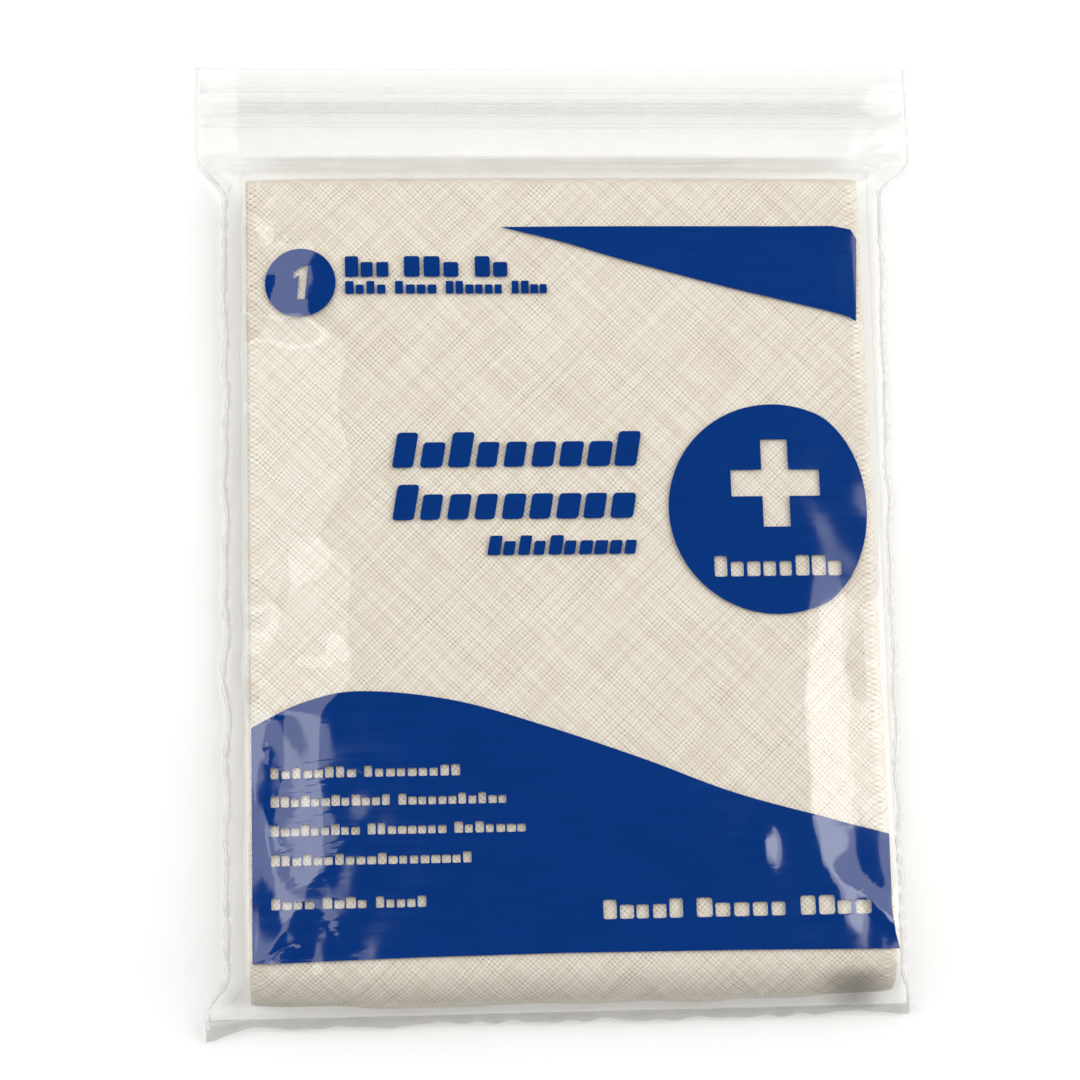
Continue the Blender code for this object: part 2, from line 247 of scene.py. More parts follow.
def muslin_material():
    """Unbleached plain weave: two sets of uneven threads, with small dark holes where they part."""
    n = Nodes("unbleached muslin")
    flat = n.add("UVMap", uv_map="threads")
    drift = n.add("TexNoise", {"Vector": flat, "Scale": 160.0, "Detail": 2.0}, out=1)
    wobble = n.add("VectorMath", [drift, (0.5, 0.5, 0.5)], operation="SUBTRACT")
    wobble = n.add("VectorMath", {0: wobble, "Scale": 0.0009}, operation="SCALE")
    moved = n.add("VectorMath", [flat, wobble], operation="ADD")
    parts = n.tree.nodes.new("ShaderNodeSeparateXYZ")
    n.set(parts.inputs[0], moved)
    turn = math.pi / THREAD_PITCH
    along_u = n.math("ABSOLUTE", n.math("SINE", n.math("MULTIPLY", parts.outputs[0], turn)))
    along_v = n.math("ABSOLUTE", n.math("SINE", n.math("MULTIPLY", parts.outputs[1], turn)))
    over = n.math(
        "MULTIPLY",
        n.math("COSINE", n.math("MULTIPLY", parts.outputs[0], turn)),
        n.math("COSINE", n.math("MULTIPLY", parts.outputs[1], turn)),
    )
    slub_u = n.noise(n.add("VectorMath", [flat, (70.0, 1100.0, 1.0)], operation="MULTIPLY"), 1.0, 1.0)
    slub_v = n.noise(n.add("VectorMath", [flat, (1100.0, 70.0, 1.0)], operation="MULTIPLY"), 1.0, 1.0)
    slub = n.math("ADD", slub_u, slub_v)
    thread_u = n.math("ROUND", n.math("DIVIDE", parts.outputs[0], THREAD_PITCH))
    thread_v = n.math("ROUND", n.math("DIVIDE", parts.outputs[1], THREAD_PITCH))
    loose_u = n.add("TexWhiteNoise", {"W": thread_u}, noise_dimensions="1D")
    loose_v = n.add("TexWhiteNoise", {"W": n.math("ADD", thread_v, 5000.0)}, noise_dimensions="1D")
    wide_u = n.ramp(n.math("MULTIPLY_ADD", slub_u, 0.6, loose_u), 0.5, 1.3, 0.5, 1.0)
    wide_v = n.ramp(n.math("MULTIPLY_ADD", slub_v, 0.6, loose_v), 0.5, 1.3, 0.5, 1.0)
    gap_u = n.ramp(n.math("DIVIDE", along_u, wide_u), 0.10, 0.85, 1.0, 0.0)
    gap_v = n.ramp(n.math("DIVIDE", along_v, wide_v), 0.10, 0.85, 1.0, 0.0)
    hole = n.math("MULTIPLY", gap_u, gap_v)
    line = n.math("MAXIMUM", gap_u, gap_v)
    patchy = n.math("MULTIPLY", n.noise(flat, 700.0, 1.0), n.noise(flat, 90.0, 2.0))
    hole = n.math("MULTIPLY", hole, n.ramp(patchy, 0.12, 0.38, 0.25, 1.0))
    thread = n.mix(n.ramp(slub, 0.7, 1.3), rgb(0.88, 0.79, 0.665), rgb(1.0, 0.945, 0.84))
    seamed = n.mix(n.math("MULTIPLY", line, 0.42), thread, rgb(0.58, 0.48, 0.35))
    colour = n.mix(hole, seamed, rgb(0.16, 0.11, 0.06))
    n.principled(Base_Color=colour, Roughness=0.92, Specular_IOR_Level=0.2)
    n.principled(Sheen_Weight=0.15, Sheen_Roughness=0.5)
    height = n.math("SUBTRACT", n.math("MULTIPLY_ADD", over, 0.25, slub), n.math("MULTIPLY", line, 0.9))
    n.bump(height, 0.10 * MM, 0.6)
    return n.material


def film_material(name, haze, roughness, tint, clarity, scratch=0.4, fade=None):
    """Clear film: light passes straight through, and its outer side reflects by angle. haze is the share
    of the surface that scatters, as stretched or welded film does. fade is a box in plan, (x, y, half x,
    half y, share), that the film thins out to nothing in: across x only past that share of it."""
    n = Nodes(name)
    where = n.object_space()
    streak = n.noise(n.add("VectorMath", [where, (420.0, 90.0, 420.0)], operation="MULTIPLY"), 1.0, 4.0)
    cloud = n.noise(where, 55.0, 4.0, 0.6)
    n.principled(
        Base_Color=n.mix(cloud, rgb(*(0.94 * c for c in tint)), rgb(*tint)),
        Roughness=n.ramp(streak, 0.2, 0.9, roughness * 0.7, roughness * 1.5),
        Metallic=1.0,
    )
    n.bump(n.math("MULTIPLY_ADD", streak, 0.5, cloud), 0.02 * MM * scratch, 0.5)
    fresnel = n.add("Fresnel", {"IOR": 1.52})
    facing = n.math("SUBTRACT", 1.0, n.add("NewGeometry", out=6))
    mirror = n.math("MULTIPLY", fresnel, facing)
    clear = n.add("BsdfTransparent", [rgb(*clarity)])
    milky = n.add("BsdfDiffuse", [rgb(*tint)])
    body = n.add("MixShader", [n.ramp(cloud, 0.3, 0.75, haze * 0.6, haze * 1.4), clear, milky])
    surface = n.add("MixShader", [mirror, body, n.shader.outputs[0]])
    if fade:
        parts = n.tree.nodes.new("ShaderNodeSeparateXYZ")
        n.set(parts.inputs[0], where)
        away = []
        for axis in (0, 1):
            offset = n.math("ABSOLUTE", n.math("SUBTRACT", parts.outputs[axis], fade[axis]))
            away.append(n.ramp(offset, fade[axis + 2] * (fade[4], 0.3)[axis], fade[axis + 2]))
        kept = n.math("MULTIPLY", *(n.math("SUBTRACT", 1.0, share) for share in away))
        surface = n.add("MixShader", [kept, n.add("BsdfTransparent", [rgb(1.0, 1.0, 1.0)]), surface])
    n.set(n.output.inputs[0], surface)
    return n.material


def ink_material(name, deep, bright):
    """Glossy flexographic ink, a little uneven where the plate pressed lightly."""
    n = Nodes(name)
    where = n.object_space()
    cloud = n.noise(where, 70.0, 4.0, 0.6)
    streak = n.noise(n.add("VectorMath", [where, (60.0, 900.0, 60.0)], operation="MULTIPLY"), 1.0, 3.0)
    n.principled(
        Base_Color=n.mix(n.math("MULTIPLY", cloud, streak), rgb(*deep), rgb(*bright)),
        Roughness=n.ramp(streak, 0.2, 0.9, 0.05, 0.09),
        IOR=1.55,
        Specular_IOR_Level=0.6,
    )
    n.bump(cloud, 0.01 * MM, 0.25)
    return n.material


def steel_material(name, colour):
    n = Nodes(name)
    where = n.object_space()
    drawn = n.noise(n.add("VectorMath", [where, (300.0, 4000.0, 4000.0)], operation="MULTIPLY"), 1.0, 3.0)
    tarnish = n.noise(where, 400.0, 4.0)
    n.principled(
        Base_Color=n.mix(tarnish, rgb(*(0.82 * c for c in colour)), rgb(*colour)),
        Metallic=1.0,
        Roughness=n.ramp(drawn, 0.2, 0.8, 0.14, 0.34),
    )
    n.bump(drawn, 0.01 * MM, 0.4)
    return n.material


def floor_material():
    """White paper, with its far part lit up as a studio's background is."""
    n = Nodes("studio paper")
    where = n.object_space()
    grain = n.noise(where, 60.0, 5.0)
    distance = n.add("VectorMath", [where], out=1, operation="LENGTH")
    n.principled(
        Base_Color=n.mix(grain, rgb(0.90, 0.90, 0.89), rgb(0.93, 0.93, 0.925)),
        Roughness=0.9,
        Emission_Color=rgb(1.0, 1.0, 0.99),
        Emission_Strength=n.ramp(distance, 0.30, 1.6, 0.155, 1.0),
    )
    return n.material


# ---- The folded cloth ------------------------------------------------------
ORDER_COUNT = 13  # the middle leaf, then six on the left wing and six on the right
RUNS = 5
RUN_STARTS = [0.0]
for turn_length in TURNS:
    RUN_STARTS.append(RUN_STARTS[-1] + FACE_LENGTH + turn_length)
CLOTH_MIDDLE = (cloth_low.x + cloth_high.x) / 2
HALF_LEAF = LEAF / 2
SIDE_STEP = 0.6 * MM  # how far a leaf's side fold stands out
WRAP_STEP = 1.6 * MM  # the same for the fold that wraps the left wing
END_SLANT = (3.4 * MM, 0.3 * MM)  # how much further the lowest layer reaches than the face, bottom and top
# Where the two safety pins' coils are, in plan.
PINS = ((-18.0 * MM, -32.0 * MM), (-18.0 * MM, -6.0 * MM))
PIN_SPACE = 2.25 * MM  # how far the pins lift the cloth off the back film


def soft_box(x, y, low, high, margin):
    across = smooth((x - low[0]) / margin + 1.0) * smooth((high[0] - x) / margin + 1.0)
    return across * smooth((y - low[1]) / margin + 1.0) * smooth((high[1] - y) / margin + 1.0)


def cloth_floor(x, y):
    """Underside of the pack: on the back film, lifted where the safety pins lie under it."""
    lift = 0.0
    for pin_x, pin_y in PINS:
        low = (pin_x - 3.0 * MM, pin_y - 3.4 * MM)
        high = (pin_x + 36.2 * MM, pin_y + 17.6 * MM)
        lift = np.maximum(lift, soft_box(x, y, low, high, 4.0 * MM))
    return cloth_low.z + PIN_SPACE * lift


def edge_drop(x, y):
    """How much lower the pack's face is towards its left and right edges, where fewer folds press up.
    The left side steps down near the edge, and broadly beside the middle of the face. The right side
    steps down in a narrow strip that starts below the middle and runs out into the bottom corner."""
    broad = smooth((y + 39.0 * MM) / (10.0 * MM)) * smooth((40.0 * MM - y) / (8.0 * MM))
    start = CLOTH_MIDDLE - (46.3 - 7.3 * broad) * MM + 1.6 * MM * waves(x, y, 20.0 * MM, 6)
    low_end = smooth((-60.0 * MM - y) / (24.0 * MM))
    high_end = smooth((y - 46.0 * MM) / (14.0 * MM))
    width = (9.5 + 13.5 * broad - 3.5 * low_end) * MM
    left = (1.25 + 1.85 * broad - 0.75 * low_end - 1.0 * high_end) * MM * smooth((start - x) / width)
    corner = smooth((-60.0 * MM - y) / (22.0 * MM))
    start = (44.0 + 6.5 * corner + 0.5 * waves(x, y, 12.0 * MM, 7)) * MM
    right = 1.2 * MM * smooth((-5.0 * MM - y) / (38.0 * MM)) * (1.0 - 0.93 * corner)
    right = right * smooth((x - start) / ((7.5 - 4.5 * corner) * MM))
    rim = smooth((np.abs(x - CLOTH_MIDDLE) - 58.0 * MM) / (2.0 * MM))
    return left + right + 0.05 * MM * rim


def cloth_face(x, y):
    """Top of the pack."""
    soft = 0.09 * MM * waves(x, y, 38.0 * MM, 11) + 0.02 * MM * waves(x, y, 12.0 * MM, 12)
    return cloth_high.z - 0.35 * MM - edge_drop(x, y) + soft


def present(run, order, x, y):
    """Share of the cloth that leaf number order has at (x, y) in one run of the roll."""
    wing = (order + 5) // 6 if order else 0  # 0 middle, 1 left, 2 right
    number = 0 if order == 0 else (order - 1) % 6 + 1
    sign = -1.0 if wing == 1 else 1.0
    along = sign * number * LEAF + x * (-1.0) ** number
    if run % 2 == 0:
        up = RUN_STARTS[run] + (FACE_TOP - y)
    else:
        up = RUN_STARTS[run] + (y - FACE_BOTTOM)
    return smooth((ALTITUDE - np.abs(along) - up) / (12.0 * MM) + 0.5)


def stack_heights(x, y):
    """Height of every layer at (x, y), x from the pack's middle, as an array [run, order]."""
    shares = np.array([[present(run, order, x, y) for order in range(ORDER_COUNT)] for run in range(RUNS)])
    totals = shares.sum(1)
    inside = np.cumsum(shares, 1) - shares / 2
    whole = totals.sum(0)
    base = {0: 0.0, 2: totals[0], 4: totals[0] + totals[2]}
    levels = np.zeros_like(shares)
    for run in (0, 2, 4):
        levels[run] = base[run] + inside[run]
    levels[1] = whole - inside[1]
    levels[3] = whole - totals[1] - inside[3]
    low = cloth_floor(x + CLOTH_MIDDLE, y)
    high = cloth_face(x + CLOTH_MIDDLE, y)
    return low + (high - low) * levels / whole


def fold_columns():
    """Places along the long edge, from its middle, that the cloth's grid has columns at."""
    places = [0.0]
    for number in range(6):
        flat = np.linspace(number * LEAF - HALF_LEAF, number * LEAF + HALF_LEAF, 22)[1:-1]
        places += [v for v in flat if v > 0.5 * MM]
        crease = number * LEAF + HALF_LEAF
        half = 2.4 * MM if number == 0 else 0.9 * MM
        places += list(crease + half * np.linspace(-1.0, 1.0, 7))
    places += list(np.linspace(5 * LEAF + HALF_LEAF + 5.0 * MM, ALTITUDE, 12))
    places = sorted(places)
    return np.array([-v for v in places[:0:-1]] + places)


def fold_rows():
    rows = []
    for run in range(RUNS):
        start = RUN_STARTS[run]
        end = min(start + FACE_LENGTH, ALTITUDE)
        rows += list(np.linspace(start, end, 31 if run < 4 else 14))
        if run < len(TURNS):
            rows += list(np.linspace(end, RUN_STARTS[run + 1], 11 if run < 2 else 7)[1:-1])
    return np.array(rows)


def fold_cloth(along, up):
    """Folds points of the flat triangle into the pack: along its long edge from the middle, and up."""
    side = np.sign(along)
    dist = np.abs(along)
    number = np.round(dist / LEAF).astype(int)
    number = np.minimum(number, 6)
    order = np.where(number == 0, 0, np.where(side < 0, number, number + 6))
    crease = np.round((dist - HALF_LEAF) / LEAF) * LEAF + HALF_LEAF
    crease_number = np.round((crease - HALF_LEAF) / LEAF).astype(int)  # the leaf before it
    offset = dist - crease
    wraps = (crease_number == 0) & (side > 0)
    half = np.where(wraps, 2.4 * MM, 0.9 * MM)
    step = np.where(wraps, WRAP_STEP, SIDE_STEP)
    rng = np.random.default_rng(3)
    jitter = rng.uniform(0.0, 0.9, (2, 8)) * MM
    edge = HALF_LEAF - step - np.where(wraps, 0.0, jitter[(side > 0).astype(int), crease_number])
    folding = (np.abs(offset) < half) & (crease_number < 6)
    phase = np.clip(offset / half, -1.0, 1.0) * math.pi / 2
    crease_side = np.where(crease_number % 2 == 0, side, -side)
    before = np.where(crease_number == 0, 0, np.where(side < 0, crease_number, crease_number + 6))
    after = np.where(side < 0, crease_number + 1, crease_number + 7)
    local = (dist - number * LEAF) * side * np.where(number % 2 == 0, 1.0, -1.0)
    flat_x = local * (HALF_LEAF - 1.3 * MM) / (HALF_LEAF - 0.9 * MM)
    flat_x = np.clip(flat_x, -HALF_LEAF + 1.0 * MM, HALF_LEAF - 1.0 * MM)
    x = np.where(folding, crease_side * (edge + step * np.cos(phase)), flat_x)
    x_read = np.where(folding, crease_side * edge, flat_x)
    share = (1.0 + np.sin(phase)) / 2

    run = np.zeros(len(up), int)
    for index in range(1, RUNS):
        run[up >= RUN_STARTS[index] - (TURNS[index - 1])] = index
    # run holds the run that a point is in or turns into
    turning = np.zeros(len(up), bool)
    theta = np.zeros(len(up))
    for index in range(1, RUNS):
        start = RUN_STARTS[index] - TURNS[index - 1]
        inside = (run == index) & (up < RUN_STARTS[index])
        turning |= inside
        theta[inside] = (up[inside] - start) / TURNS[index - 1] * math.pi
    starts = np.array(RUN_STARTS)
    along_run = up - starts[run]
    y_flat = np.where(run % 2 == 0, FACE_TOP - along_run, FACE_BOTTOM + along_run)
    y_end = np.where(run % 2 == 0, FACE_TOP, FACE_BOTTOM)
    y_read = np.where(turning, y_end, y_flat)
    x_world = x + CLOTH_MIDDLE
    levels = stack_heights(x_read, y_read)
    pick = np.arange(len(up))

    def level(which_run, which_order):
        return levels[which_run, which_order, pick]

    def in_run(which_run):
        return np.where(
            folding,
            level(which_run, before) * (1 - share) + level(which_run, after) * share,
            level(which_run, order),
        )

    here = in_run(run)
    previous = in_run(np.maximum(run - 1, 0))
    middle = (here + previous) / 2
    reach = (here - previous) / 2
    thickness = cloth_high.z - cloth_low.z
    bulge = np.where(y_end < 0, 5.6 * MM, 2.6 * MM) * np.minimum(np.abs(reach) / (0.36 * thickness), 1.0)
    bulge = bulge * (1.0 - 0.22 * np.abs(x / HALF_LEAF) ** 4 + 0.05 * waves(x, here, 18.0 * MM, 21))
    z = np.where(turning, middle - reach * np.cos(theta), here)
    y = np.where(turning, y_end + np.sign(y_end) * bulge * np.sin(theta), y_flat)
    depth = 1.0 - (z - cloth_low.z) / thickness
    y = y - END_SLANT[0] * depth * smooth((FACE_BOTTOM + 25.0 * MM - y) / (25.0 * MM))
    y = y + END_SLANT[1] * depth * smooth((y - FACE_TOP + 25.0 * MM) / (25.0 * MM))
    return np.stack([x_world, y, z], -1)


def make_bandage(muslin):
    columns = fold_columns()
    rows = fold_rows()
    bm = bmesh.new()
    grid = [[bm.verts.new((a, u, 0.0)) for a in columns] for u in rows]
    for low, high in zip(grid, grid[1:]):
        for i in range(len(columns) - 1):
            bm.faces.new((low[i], low[i + 1], high[i + 1], high[i]))
    for sign in (-1.0, 1.0):
        bmesh.ops.bisect_plane(
            bm,
            geom=bm.verts[:] + bm.edges[:] + bm.faces[:],
            dist=1e-7,
            plane_co=(0.0, ALTITUDE - 0.2 * MM, 0.0),
            plane_no=(sign, 1.0, 0.0),
            clear_outer=True,
        )
    flat = np.array([v.co[:] for v in bm.verts])
    mesh = bpy.data.meshes.new("bandage")
    bm.to_mesh(mesh)
    bm.free()
    folded = fold_cloth(flat[:, 0], flat[:, 1])
    mesh.vertices.foreach_set("co", folded.astype(np.float32).ravel())
    threads = mesh.uv_layers.new(name="threads")
    loops = np.zeros(len(mesh.loops), int)
    mesh.loops.foreach_get("vertex_index", loops)
    root = math.sqrt(0.5)
    along = (flat[loops, 0] + flat[loops, 1]) * root
    across = (flat[loops, 1] - flat[loops, 0]) * root
    threads.data.foreach_set("uv", np.stack([along, across], -1).astype(np.float32).ravel())
    mesh.update()
    mesh.shade_smooth()
    obj = bpy.data.objects.new("bandage", mesh)
    mesh.materials.append(muslin)
    link(obj)
    solid = obj.modifiers.new("cloth", "SOLIDIFY")
    solid.thickness = 0.3 * MM
    solid.offset = 0.0
    apply_modifiers(obj)
    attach(obj, "bag")
    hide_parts("folded_bandage")
    return obj


# ---- Film ------------------------------------------------------------------
def fall(share, power):
    return 1.0 - (1.0 - share * share) ** power


# Sharp creases in the front film over the pack, in millimetres: both ends, half width, height.
CREASES = (
    (((-57.6, -87.0), (-54.2, -82.0)), 0.9 * MM, 0.45 * MM),
    (((48.5, -69.5), (61.0, -83.5)), 1.0 * MM, 0.28 * MM),
    (((-60.5, 58.5), (-52.0, 54.5)), 1.1 * MM, 0.50 * MM),
    (((-57.5, 50.5), (-55.0, 62.5)), 1.2 * MM, 0.30 * MM),
)


def crease_line(x, y, ends, width):
    """A ridge from one end to the other, running out at both."""
    (x0, y0), (x1, y1) = ends
    long = math.hypot(x1 - x0, y1 - y0)
    way_x, way_y = (x1 - x0) / long, (y1 - y0) / long
    along = ((x - x0 * MM) * way_x + (y - y0 * MM) * way_y) / (long * MM)
    across = (x - x0 * MM) * way_y - (y - y0 * MM) * way_x
    return np.exp(-((across / width) ** 2)) * smooth(along * 3.0) * smooth((1.0 - along) * 3.0)


# Small folds that the film is gathered into along the top of the pack: place in y, height.
PLEATS = (
    (SHOULDER - 0.5 * MM, 0.30 * MM),
    (SHOULDER - 2.3 * MM, 0.35 * MM),
    (SHOULDER - 4.2 * MM, 0.35 * MM),
)


def side_share(x, y):
    """How far out (x, y) is on the film's slope beside the cloth: 0 over the cloth, 1 at a weld."""
    left, right = weld_edges(y)
    run_left = cloth_low.x - SIDE_GAP - left - WELD
    run_right = right - WELD - cloth_high.x - SIDE_GAP
    share_left = np.clip((cloth_low.x - SIDE_GAP - x) / run_left, 0.0, 1.0)
    share_right = np.clip((x - cloth_high.x - SIDE_GAP) / run_right, 0.0, 1.0)
    return np.maximum(share_left, share_right)


def film_z(x, y):
    """Underside of the front film: close over the cloth, down to the zip's level outside it."""
    side = side_share(x, y)
    end_bottom = np.clip((FACE_BOTTOM - y) / (FACE_BOTTOM - END_Y), 0.0, 1.0)
    end_top = np.clip((y - FACE_TOP) / (SHOULDER - FACE_TOP), 0.0, 1.0)
    down = 1.0 - (1.0 - fall(side, 0.8)) * (1.0 - fall(end_bottom, 0.5)) * (1.0 - fall(end_top, 1.0))
    inside_x = np.clip(x, cloth_low.x, cloth_high.x)
    inside_y = np.clip(y, FACE_BOTTOM, FACE_TOP)
    top = cloth_face(inside_x, inside_y) + 0.45 * MM
    on_face = (1.0 - side) * (1.0 - end_bottom) * (1.0 - end_top)
    slack = 0.20 + 0.80 * smooth((CLOTH_MIDDLE - 36.0 * MM - x) / (16.0 * MM))
    fine = 0.08 * MM * np.maximum(waves(x, y, 9.0 * MM, 31, stretch=2.2), -0.9) * slack
    crease = np.maximum(1.0 - np.abs(waves(x, y, 26.0 * MM, 33, stretch=1.6)), 0.0) ** 6
    fine = fine + 0.20 * MM * crease * slack * smooth((-30.0 * MM - x) / (20.0 * MM))
    spot = ((x - 34.0 * MM) / (1.8 * MM)) ** 2
    fine = fine + 0.30 * MM * np.exp(-spot - ((y + 65.0 * MM) / (4.0 * MM)) ** 2)
    for ends, width, height in CREASES:
        fine = fine + height * crease_line(x, y, ends, width)
    z = top - (top - header_z(x, y)) * down + fine * on_face
    pucker = 0.35 * MM * waves(x, y, 7.0 * MM, 35) * side * (1.0 - end_top) * smooth((1.0 - side) * 3.0)
    ripple = 0.05 * MM * waves(x, y, 16.0 * MM, 37, stretch=0.5) * end_top
    for place, height in PLEATS:
        line = y - place - 0.5 * MM * waves(x, 0.0 * y, 45.0 * MM, int(place / MM))
        uneven = 0.7 + 0.5 * waves(x, 0.0 * y, 25.0 * MM, 5)
        ripple = ripple + height * np.exp(-((line / (0.45 * MM)) ** 2)) * uneven
    return z + pucker + ripple + crumple(x, y)


def header_z(x, y):
    """Underside of the front film down at the zip's level, closing on the back film at the welds."""
    left, right = weld_edges(y)
    inward = np.minimum(x - left, right - x)
    return WELD_Z + (FRONT_Z - WELD_Z) * smooth(inward / (9.0 * MM))


# Where the film is crushed, in plan: x, y, reach.
CRUMPLES = (
    (-68.5 * MM, 67.5 * MM, 4.5 * MM),
    (68.0 * MM, 69.5 * MM, 4.5 * MM),
    (-64.5 * MM, 62.0 * MM, 3.5 * MM),
)


def crumple(x, y):
    """Crushed film at the two shoulders, where the header meets the pack."""
    near = 0.0
    for at_x, at_y, reach in CRUMPLES:
        near = near + np.exp(-((x - at_x) ** 2 + (y - at_y) ** 2) / reach**2)
    return 1.2 * MM * np.maximum(0.25 + waves(x, y, 2.8 * MM, 61), 0.0) * near


def back_z(x, y):
    side = side_share(x, y)
    end_bottom = np.clip((END_Y + 1.5 * MM - y) / (1.5 * MM), 0.0, 1.0)
    end_top = np.clip((y - FACE_TOP - 1.0 * MM) / (SHOULDER - FACE_TOP - 1.0 * MM), 0.0, 1.0)
    rise = 1.0 - (1.0 - smooth(side)) * (1.0 - smooth(end_bottom)) * (1.0 - smooth(end_top))
    return BACK_Z * rise + 0.05 * MM * (1.0 + waves(x, y, 12.0 * MM, 41)) * smooth(rise * 4.0)


def film_grid(bottom_y, top_y):
    """Grid of (x, y) that follows the bag's outline, finer on its slopes."""
    quarter = np.linspace(0.0, math.pi / 2, 12)
    slope = np.sin(quarter) * 0.5 + (1.0 - np.cos(quarter)) * 0.5
    ys = list(bottom_y + (FACE_BOTTOM - bottom_y) * np.linspace(0.0, 1.0, 14) ** 1.8)
    ys += list(np.linspace(FACE_BOTTOM, FACE_TOP, 118)[1:])
    ys += list(np.linspace(FACE_TOP, SHOULDER + 1.0 * MM, 44)[1:])
    ys += list(np.linspace(SHOULDER + 1.0 * MM, top_y, 18)[1:])
    ys = np.array(ys)
    rows = []
    for y in ys:
        left, right = weld_edges(y)
        left, right = left + WELD * 0.5, right - WELD * 0.5
        start_l, start_r = cloth_low.x - SIDE_GAP, cloth_high.x + SIDE_GAP
        face = np.linspace(start_l, start_r, 100)
        row = list(start_l + (left - start_l) * slope[:0:-1]) + list(face)
        row += list(start_r + (right - start_r) * slope[1:])
        rows.append(row)
    x = np.array(rows)
    y = np.repeat(ys[:, None], x.shape[1], 1)
    return x, y


def open_with_mouth(obj):
    """Bakes the piece's placement into its mesh and reads its points; the piece is not bent open."""
    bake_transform(obj)
    co = np.zeros(len(obj.data.vertices) * 3)
    obj.data.vertices.foreach_get("co", co)
    co = co.reshape(-1, 3)


def make_front_film(film):
    x, y = film_grid(END_Y, LIP)
    obj = sheet_object("front_film", x, y, film_z(x, y), film, FILM_WALL)
    open_with_mouth(obj)
    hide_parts("bag_front_film", "front_lip")


def make_back_film(film):
    x, y = film_grid(END_Y, LIP)
    obj = sheet_object("back_film", x, y, back_z(x, y), film, FILM_WALL)
    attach(obj, "bag")
    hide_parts("bag_back_film", "back_lip")


# ---- Camera, light and floor -----------------------------------------------
CAMERA_TARGET = (-5.7, -4.7, 7.0)  # millimetres
CAMERA_WAY = (-0.0833, -0.2079, 1.0)  # from the target towards the camera
CAMERA_ROLL = -1.588  # degrees
CAMERA_DISTANCE = 0.5207
CAMERA_LENS = 90.08


def make_camera():
    target = Vector(CAMERA_TARGET) * MM
    towards = Vector(CAMERA_WAY).normalized()
    roll = math.radians(CAMERA_ROLL)
    up = Vector((0.0, 1.0, 0.0))
    up = (up - towards * up.dot(towards)).normalized()
    right = up.cross(towards)
    x_axis = right * math.cos(roll) + up * math.sin(roll)
    y_axis = up * math.cos(roll) - right * math.sin(roll)
    camera = bpy.data.cameras.new("camera")
    camera.lens = CAMERA_LENS
    camera.sensor_width = 36.0
    camera.clip_start = 0.01
    camera.clip_end = 20.0
    obj = bpy.data.objects.new("camera", camera)
    matrix = Matrix((x_axis, y_axis, towards)).transposed().to_4x4()
    matrix.translation = target + towards * CAMERA_DISTANCE
    obj.matrix_world = matrix
    link(obj)
    bpy.context.scene.camera = obj


def make_light(name, direction, distance, width, height, radiance):
    """A softbox that faces the pack from a direction. radiance is its brightness, 1 for white."""
    lamp = bpy.data.lights.new(name, "AREA")
    lamp.shape = "RECTANGLE"
    lamp.size = width
    lamp.size_y = height
    lamp.energy = radiance * math.pi * width * height
    obj = bpy.data.objects.new(name, lamp)
    way = Vector(direction).normalized()
    obj.rotation_mode = "QUATERNION"
    obj.rotation_quaternion = way.to_track_quat("Z", "Y")
    obj.location = way * distance
    link(obj)


# Name, direction from the pack, distance, width, height, radiance.
LIGHTS = (
    ("left softbox", (-0.67, 0.10, 0.74), 0.95, 0.90, 1.1, 2.0),
    ("left strip", (-0.39, 0.08, 0.92), 0.90, 0.09, 0.7, 2.2),
    ("right softbox", (0.73, 0.05, 0.68), 0.95, 0.82, 1.1, 2.2),
    ("right strip", (0.58, 0.05, 0.81), 0.90, 0.14, 0.7, 3.4),
    ("top softbox", (0.10, 0.85, 0.62), 1.05, 1.3, 0.7, 0.95),
)
FLOOR_HALF = 3.0


def make_stage():
    half = FLOOR_HALF
    corners = [(-half, -half, 0), (half, -half, 0), (half, half, 0), (-half, half, 0)]
    floor = mesh_object("floor", corners, [(0, 1, 2, 3)], floor_material(), smooth_shade=False)
    floor.location.z = cad_low.z - 0.1 * MM
    for light in LIGHTS:
        make_light(*light)
    world = bpy.data.worlds.new("studio")
    world.use_nodes = True
    tree = world.node_tree
    seen = tree.nodes.new("ShaderNodeLightPath")
    # The backdrop looks white to the camera, and lights the pack only a little.
    strength = tree.nodes.new("ShaderNodeMapRange")
    strength.inputs["To Min"].default_value = 0.03
    strength.inputs["To Max"].default_value = 1.0
    tree.links.new(seen.outputs["Is Camera Ray"], strength.inputs["Value"])
    tree.links.new(strength.outputs[0], tree.nodes["Background"].inputs["Strength"])
    tree.nodes["Background"].inputs["Color"].default_value = rgb(1.0, 1.0, 1.0)
    bpy.context.scene.world = world
    scene = bpy.context.scene
    scene.view_settings.view_transform = "Standard"
    scene.view_settings.look = "None"
    scene.cycles.transparent_max_bounces = 32


